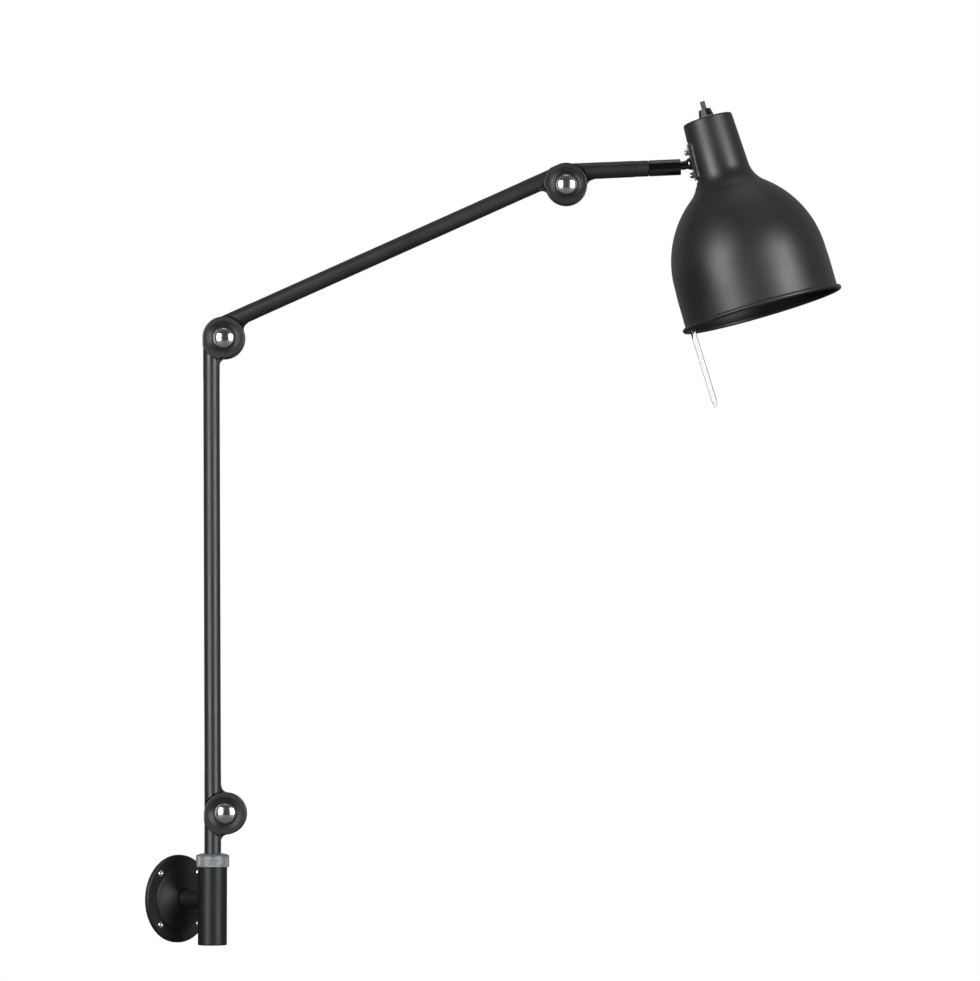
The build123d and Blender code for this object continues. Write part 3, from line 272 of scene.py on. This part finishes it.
def bell_outline(inset, fine):
    """Half section of the shade moved in by inset, from the top's middle down to the rim.
    Neck line, arc R 28, arc R 100, straight skirt: the two arcs and the line are tangent."""
    slope, flank = math.tan(FLANK), math.cos(FLANK)
    reach = BELL_R + SHOULDER_R
    start = TOP_R + SHOULDER_R / flank - BELL_X
    a, b, c = 1 + slope ** 2, start * slope - BELL_END, start ** 2 + BELL_END ** 2 - reach ** 2
    depth = (-b - math.sqrt(b * b - a * c)) / a
    arc_x = start + BELL_X + depth * slope
    shoulder, dome = SHOULDER_R + inset, BELL_R - inset
    neck_low = (arc_x - shoulder * flank, -(depth + shoulder * math.sin(FLANK)))
    share = shoulder / reach
    meet = (arc_x + (BELL_X - arc_x) * share, -(depth + (BELL_END - depth) * share))
    edge = max(TOP_EDGE_R - inset, 0.4)
    corner = TOP_R - inset / flank + inset * slope
    first = math.degrees(math.atan2(neck_low[1] + depth, neck_low[0] - arc_x)) % 360
    last = math.degrees(math.atan2(meet[1] + depth, meet[0] - arc_x)) % 360
    rise = math.degrees(math.atan2(meet[1] + BELL_END, meet[0] - BELL_X))
    skirt = SKIRT_R - inset
    return path(
        steps_between((TOP_HOLE_R, -inset), (corner - edge, -inset), 4.0),
        arc((corner - edge, -inset - edge), edge, 90, 0, 6),
        steps_between((corner + edge * slope, -inset - edge), neck_low, fine),
        arc((arc_x, -depth), shoulder, first, last, 12),
        arc((BELL_X, -BELL_END), dome, rise, 0, 34),
        steps_between((skirt, -SKIRT_TOP), (skirt, BEAD_AT[1] + SKIRT_LAP), 6.0),
    )


def press_flat(blend):
    """Moves the neck's grid in to the flat: x >= -(flank radius) + depth * w(z) + (wall inside),
    with w going smoothly from 1 to 0 over blend past the flat's ends."""
    top, low = STUD_AT - FLAT_UP, STUD_AT + FLAT_DOWN

    def shape(grid, angles):
        x, y, z = grid[..., 0], grid[..., 1], grid[..., 2]
        t = -z
        past = np.clip(np.maximum(top - t, t - low) / blend, 0, 1)
        weight = 1 - past * past * (3 - 2 * past)
        flank_r = TOP_R + t * math.tan(FLANK)
        inside = np.hypot(x, y) < flank_r - 0.6 * WALL
        floor = -flank_r + weight * FLAT_DEPTH / math.cos(FLANK) + np.where(inside, WALL, 0.0)
        on_neck = (t > NECK_ENDS[0]) & (t < NECK_ENDS[1])
        grid[..., 0] = np.where(on_neck, np.maximum(x, floor), x)
        return grid

    return shape


# ---------------------------------------------------------------- materials
MIX_A, MIX_B, MIX_RESULT = 6, 7, 2     # the colour sockets of a Mix node


def linear(code):
    """Linear colour of a hex sRGB code: c / 12.92 under 0.04045, else ((c + 0.055) / 1.055) ** 2.4."""
    values = [int(code[i:i + 2], 16) / 255 for i in (0, 2, 4)]
    return tuple(v / 12.92 if v <= 0.04045 else ((v + 0.055) / 1.055) ** 2.4 for v in values)


def add(tree, kind, inputs=None, **settings):
    """One node with its settings and inputs. An input value that is a socket is linked."""
    node = tree.nodes.new(kind)
    for key, value in settings.items():
        setattr(node, key, value)
    for key, value in (inputs or {}).items():
        if isinstance(value, bpy.types.NodeSocket):
            tree.links.new(value, node.inputs[key])
        else:
            node.inputs[key].default_value = value
    return node


def noise(tree, scale, detail):
    """Noise in Object coordinates, scale in cycles a metre."""
    spot = add(tree, "ShaderNodeTexCoord").outputs["Object"]
    return add(tree, "ShaderNodeTexNoise", {"Vector": spot, "Scale": scale, "Detail": detail}).outputs["Fac"]


def between(tree, fac, low, high):
    """Value from low to high as fac goes from 0.3 to 0.7."""
    inputs = {"Value": fac, "From Min": 0.3, "From Max": 0.7, "To Min": low, "To Max": high}
    return add(tree, "ShaderNodeMapRange", inputs).outputs["Result"]


def finish(name, colour, roughness, metallic=0.0, grain=(1200, 0.02), mottle=(14, 0.12), **more):
    """Principled finish. A broad noise varies the roughness by about 15% and the colour by mottle's share.
    mottle is (cycles a metre, share) and grain, the bump, is (cycles a metre, height in millimetres)."""
    made = bpy.data.materials.new(name)
    made.use_nodes = True
    tree = made.node_tree
    shader = tree.nodes["Principled BSDF"]
    shader.inputs["Metallic"].default_value = metallic
    for key, value in more.items():
        shader.inputs[key.replace("_", " ")].default_value = value
    broad = noise(tree, mottle[0], 3.0)
    low = (*[c * (1 - mottle[1]) for c in colour[:3]], 1)
    high = (*[min(1, c * (1 + mottle[1])) for c in colour[:3]], 1)
    mix = add(tree, "ShaderNodeMix", {"Factor": between(tree, broad, 0, 1)}, data_type="RGBA")
    for socket, value in ((MIX_A, low), (MIX_B, high)):
        mix.inputs[socket].default_value = value
    tree.links.new(mix.outputs[MIX_RESULT], shader.inputs["Base Color"])
    fine = noise(tree, grain[0], 2.0)
    tree.links.new(between(tree, broad, roughness * 0.87, roughness * 1.15), shader.inputs["Roughness"])
    bump = add(tree, "ShaderNodeBump", {"Height": fine, "Strength": 1.0, "Distance": grain[1] * 0.001})
    tree.links.new(bump.outputs["Normal"], shader.inputs["Normal"])
    return made


def make_finishes():
    """The lamp's finishes, by the record's material slot."""
    looks = bpy.context.scene.lamp_looks
    clear = {"Transmission_Weight": 1.0, "IOR": 1.49}
    return {
        "charcoal": finish("satin charcoal powder coat", looks.charcoal, 0.42, grain=(900, 0.006)),
        "black": finish("satin black powder coat", looks.black, 0.46, grain=(900, 0.006),
                        Specular_IOR_Level=0.32),
        "chrome": finish("polished chrome", linear("e2e3e5"), 0.15, 1.0, (300, 0.002), (30, 0.03)),
        "dark_chrome": finish("polished black chrome", linear("5a5a58"), 0.14, 1.0, (300, 0.003), (30, 0.06)),
        "steel": finish("zinc plated steel", linear("c9cacb"), 0.28, 1.0, (900, 0.02), (60, 0.06)),
        "collar_grey": finish("anodised aluminium", looks.collar, 0.3, 0.8, (700, 0.03), (60, 0.06)),
        "nylon": finish("natural nylon", linear("e6e4da"), 0.5, 0.0, (400, 0.02), (40, 0.04)),
        "ceramic": finish("glazed ceramic", linear("efece4"), 0.18, 0.0, (200, 0.01), (30, 0.03)),
        "black_plastic": finish("black moulded plastic", linear("232324"), 0.45, 0.0, (900, 0.03), (30, 0.1)),
        "gloss_black": finish("glossy black plastic", linear("0c0c0d"), 0.3, 0.0, (200, 0.004), (30, 0.1),
                              Specular_IOR_Level=0.3),
        "pad_black": finish("black fibre pad", linear("1c1c1c"), 0.8, 0.0, (1500, 0.05), (60, 0.15)),
        "brass": finish("nickelled brass", linear("cbb98c"), 0.27, 1.0, (900, 0.02), (60, 0.08)),
        "clear": finish("clear acrylic", (0.96, 0.98, 0.98), 0.03, 0.0, (200, 0.001), (20, 0.01), **clear),
        "bulb": finish("frosted bulb glass", (0.93, 0.93, 0.91), 0.5, 0.0, (500, 0.01), (20, 0.02),
                       Transmission_Weight=0.55, IOR=1.45),
    }


def dress(piece, body, slot, *nodes):
    """Gives a piece the finish of a slot and its body, and hides the solids that it stands for."""
    piece.data.materials.clear()
    piece.data.materials.append(bpy.data.materials[FINISHES[slot]])
    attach(piece, body)
    if nodes:
        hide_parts(*nodes)


FINISHES = {}


# ---------------------------------------------------------------- studio
def make_surroundings(studio):
    """World: white where it is seen straight, and through the clear rod white ahead and greyer to
    the sides. In reflections the far side and the ceiling are brighter than the front, as in a
    room. As light on the lamp it is an even grey."""
    world = bpy.data.worlds.new("white studio")
    world.use_nodes = True
    tree = world.node_tree
    tree.nodes.clear()
    rays = add(tree, "ShaderNodeLightPath").outputs
    away = IN_ROOM.to_3x3() @ Vector((0, 1, 0))
    spot = add(tree, "ShaderNodeTexCoord").outputs["Generated"]
    ahead = add(tree, "ShaderNodeVectorMath", {0: spot, 1: away}, operation="DOT_PRODUCT").outputs["Value"]
    up = add(tree, "ShaderNodeSeparateXYZ", {"Vector": spot}).outputs["Z"]

    def brightness(value, start, end, low, high):
        """From low to high as value goes from start to end."""
        inputs = {"Value": value, "From Min": start, "From Max": end, "To Min": low, "To Max": high}
        return add(tree, "ShaderNodeMapRange", inputs).outputs["Result"]

    def background(strength):
        """White of a strength."""
        inputs = {"Color": (1, 1, 1, 1), "Strength": strength}
        return add(tree, "ShaderNodeBackground", inputs).outputs[0]

    room = brightness(ahead, -0.7, 0.6, studio.front, studio.back)
    ceiling = brightness(up, 0.9, 0.97, 0.0, studio.ceiling)
    room = add(tree, "ShaderNodeMath", {0: room, 1: ceiling}, operation="ADD").outputs[0]
    through = brightness(ahead, 0.6, 0.9, 0.5, 0.97)
    seen = background(studio.ambient)
    for kind, strength in (("Glossy", room), ("Camera", 1.0), ("Transmission", through)):
        inputs = {0: rays[f"Is {kind} Ray"], 1: seen, 2: background(strength)}
        seen = add(tree, "ShaderNodeMixShader", inputs).outputs[0]
    add(tree, "ShaderNodeOutputWorld", {"Surface": seen})
    return world


def make_floor(scene, studio):
    """Dark floor that the camera sees as white."""
    mesh = bpy.data.meshes.new("floor")
    z = -studio.floor_drop
    corners = [(x * FLOOR_HALF, y * FLOOR_HALF, z) for x, y in ((-1, -1), (1, -1), (1, 1), (-1, 1))]
    mesh.from_pydata(corners, [], [(0, 1, 2, 3)])
    floor = bpy.data.objects.new("floor", mesh)
    scene.collection.objects.link(floor)
    paint = bpy.data.materials.new("studio floor")
    paint.use_nodes = True
    tree = paint.node_tree
    shader = tree.nodes["Principled BSDF"]
    shader.inputs["Base Color"].default_value = (0.1, 0.1, 0.1, 1)
    shader.inputs["Roughness"].default_value = 0.9
    glow = add(tree, "ShaderNodeEmission", {"Color": (1, 1, 1, 1), "Strength": 1.0}).outputs[0]
    seen = add(tree, "ShaderNodeLightPath").outputs["Is Camera Ray"]
    mix = add(tree, "ShaderNodeMixShader", {"Fac": seen, 1: shader.outputs[0], 2: glow})
    tree.links.new(mix.outputs[0], tree.nodes["Material Output"].inputs["Surface"])
    mesh.materials.append(paint)


def make_softboxes(scene, studio):
    """Two upright soft lights, left and right of the camera, that face the lamp's middle."""
    middle = IN_ROOM @ Vector(LIT_MIDDLE) * 0.001
    for side, turn, power in (("left", -41.0, studio.key_power), ("right", 47.0, studio.fill_power)):
        light = bpy.data.lights.new(side + " softbox", "AREA")
        light.shape = "RECTANGLE"
        light.size, light.size_y = SOFTBOX_SIZE
        light.energy = power
        box = bpy.data.objects.new(side + " softbox", light)
        toward = IN_ROOM.to_3x3() @ Matrix.Rotation(math.radians(turn), 3, "Z") @ Vector((0, -1, 0))
        box.location = middle + toward * SOFTBOX_AWAY + Vector((0, 0, SOFTBOX_RAISE))
        box.rotation_euler = (middle - box.location).to_track_quat("-Z", "Y").to_euler()
        scene.collection.objects.link(box)


def make_camera(scene, studio):
    """Camera square to the arms' plane, tilted up by the pitch."""
    camera = bpy.data.cameras.new("camera")
    camera.sensor_fit = "HORIZONTAL"
    camera.sensor_width = SENSOR
    camera.lens = LENS_PIXELS * SENSOR / PICTURE_PIXELS
    camera.clip_end = 100.0
    eye = bpy.data.objects.new("camera", camera)
    eye.location = (IN_ROOM @ Vector(CAMERA_AT)) * 0.001
    eye.rotation_euler = (math.radians(90) + studio.pitch, 0, math.radians(-ARM_PLANE_TURN))
    scene.collection.objects.link(eye)
    scene.camera = eye


# ---------------------------------------------------------------- operators
class LAMP_OT_finishes(bpy.types.Operator):
    """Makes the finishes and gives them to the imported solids"""

    bl_idname = "lamp.finishes"
    bl_label = "Finishes"

    def execute(self, context):
        made = make_finishes()
        FINISHES.update({slot: material.name for slot, material in made.items()})
        slots = {part["node"]: part["material_slot"] for part in frame["record"]["subparts"]}
        for node, piece in frame["nodes"].items():
            for spot in piece.material_slots:
                spot.material = made[slots[node]]
        return {"FINISHED"}


class LAMP_OT_shade(bpy.types.Operator):
    """Spun bell shade with its pressed flat and rolled edge"""

    bl_idname = "lamp.shade"
    bl_label = "Shade"

    def execute(self, context):
        shape = context.scene.lamp_shape
        outside = bell_outline(0.0, 1.3)
        inside = bell_outline(WALL, 2.2)
        outline = path(outside, arc(BEAD_AT, BEAD_R, *BEAD_TURN, 26), inside[::-1])
        press = press_flat(shape.flat_blend)
        piece = lathe("shade_skin", outline, shape.shade_turns, AT_SHADE, sharp=50, shape=press)
        dress(piece, "head", "charcoal", "shade")
        return {"FINISHED"}


class LAMP_OT_collar(bpy.types.Operator):
    """Collar with a diamond knurl cut in its side"""

    bl_idname = "lamp.collar"
    bl_label = "Knurled collar"

    def execute(self, context):
        shape = context.scene.lamp_shape
        low, high, edge = COLLAR_LOW, COLLAR_HIGH, COLLAR_R - COLLAR_EDGE
        side_low, side_high = (COLLAR_R, low + COLLAR_EDGE), (COLLAR_R, high - COLLAR_EDGE)
        outline = path(
            (COLLAR_CUP_R, low), (edge, low), steps_between(side_low, side_high, 0.17), side_high,
            (edge, high), COLLAR_DOME, (COLLAR_BORE_R, COLLAR_DOME[-1][1]), (COLLAR_BORE_R, COLLAR_LIP),
            (COLLAR_CUP_R, COLLAR_LIP),
        )
        count = round(2 * math.pi * COLLAR_R / shape.knurl_pitch)

        def knurl(grid, angles):
            """Crossing grooves: r goes to r - depth * (1 - min(1, 1.6 s)), where s is the lesser of
            |sin((n a + k z) / 2)| and |sin((n a - k z) / 2)|."""
            r = np.hypot(grid[..., 0], grid[..., 1])
            z = grid[..., 2]
            on = (r > COLLAR_R - 0.01) & (z > low + 0.7) & (z < high - 0.7)
            lean = z / shape.knurl_pitch * 2 * math.pi * KNURL_LEAN
            rising = np.abs(np.sin((angles * count + lean) / 2))
            falling = np.abs(np.sin((angles * count - lean) / 2))
            cut = shape.knurl_depth * (1 - np.minimum(1, 1.6 * np.minimum(rising, falling)))
            scale = np.where(on, (r - cut) / np.maximum(r, 1e-6), 1.0)
            grid[..., 0] *= scale
            grid[..., 1] *= scale
            return grid

        piece = lathe("collar_knurl", outline, count * 10, IN_ROOM, sharp=40, shape=knurl)
        dress(piece, "collar", "collar_grey", "knurled_collar")
        return {"FINISHED"}


class LAMP_OT_caps(bpy.types.Operator):
    """Polished domed caps of the elbows"""

    bl_idname = "lamp.caps"
    bl_label = "Elbow caps"

    def execute(self, context):
        turns = context.scene.lamp_shape.cap_turns
        drop = math.sqrt(CAP_SPHERE_R ** 2 - CAP_R ** 2)
        rim = math.degrees(math.atan2(drop, CAP_R))
        inner_r, inner_sphere_r = CAP_R - CAP_WALL, CAP_SPHERE_R - CAP_WALL
        rim_in = math.degrees(math.acos(inner_r / inner_sphere_r))
        centre = (0, CAP_LOW + CAP_SKIRT - drop)
        outline = path(
            (inner_r, CAP_LOW), (CAP_R - 0.15, CAP_LOW), (CAP_R, CAP_LOW + 0.15),
            (CAP_R, CAP_LOW + CAP_SKIRT - 0.1),
            arc(centre, CAP_SPHERE_R, rim, 90, 22), arc(centre, inner_sphere_r, 90, rim_in, 10),
        )
        riders = (("swivel", "arm_1"), ("arm_1", "arm_2"), ("arm_2", "arm_3"))
        for number, (elbow, bodies) in enumerate(zip(ELBOWS, riders), start=1):
            for body, side, turn in zip(bodies, ("front", "back"), (90, -90)):
                at = IN_ROOM @ Matrix.Translation(elbow) @ Matrix.Rotation(math.radians(turn), 4, "X")
                name = f"elbow_{number}_{side}_cap"
                piece = lathe(name + "_skin", outline, turns, at, sharp=40)
                dress(piece, body, "chrome", name)
        return {"FINISHED"}


class LAMP_OT_studio(bpy.types.Operator):
    """Floor, soft lights, white surroundings and the camera"""

    bl_idname = "lamp.studio"
    bl_label = "Studio"

    def execute(self, context):
        scene, studio = context.scene, context.scene.lamp_studio
        scene.world = make_surroundings(studio)
        make_floor(scene, studio)
        make_softboxes(scene, studio)
        make_camera(scene, studio)
        scene.view_settings.view_transform = "Standard"
        scene.view_settings.look = "None"
        return {"FINISHED"}


class LAMP_PT_panel(bpy.types.Panel):
    """Lists the lamp's settings and operators"""

    bl_idname = "LAMP_PT_panel"
    bl_label = "Wall lamp"
    bl_space_type = "VIEW_3D"
    bl_region_type = "UI"
    bl_category = "Lamp"

    def draw(self, context):
        for group in (context.scene.lamp_shape, context.scene.lamp_looks, context.scene.lamp_studio):
            box = self.layout.box()
            for key in group.__annotations__:
                box.prop(group, key)
        for operator in OPERATORS:
            self.layout.operator(operator.bl_idname)


OPERATORS = (LAMP_OT_finishes, LAMP_OT_shade, LAMP_OT_collar, LAMP_OT_caps, LAMP_OT_studio)
CLASSES = (LampShape, LampLooks, LampStudio, *OPERATORS, LAMP_PT_panel)


def register():
    for item in CLASSES:
        bpy.utils.register_class(item)
    bpy.types.Scene.lamp_shape = bpy.props.PointerProperty(type=LampShape)
    bpy.types.Scene.lamp_looks = bpy.props.PointerProperty(type=LampLooks)
    bpy.types.Scene.lamp_studio = bpy.props.PointerProperty(type=LampStudio)


def unregister():
    del bpy.types.Scene.lamp_shape, bpy.types.Scene.lamp_looks, bpy.types.Scene.lamp_studio
    for item in reversed(CLASSES):
        bpy.utils.unregister_class(item)


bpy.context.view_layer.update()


def main():
    register()
    bpy.ops.lamp.finishes()
    bpy.ops.lamp.shade()
    bpy.ops.lamp.collar()
    bpy.ops.lamp.caps()
    bpy.ops.lamp.studio()


if __name__ == "__main__":
    main()
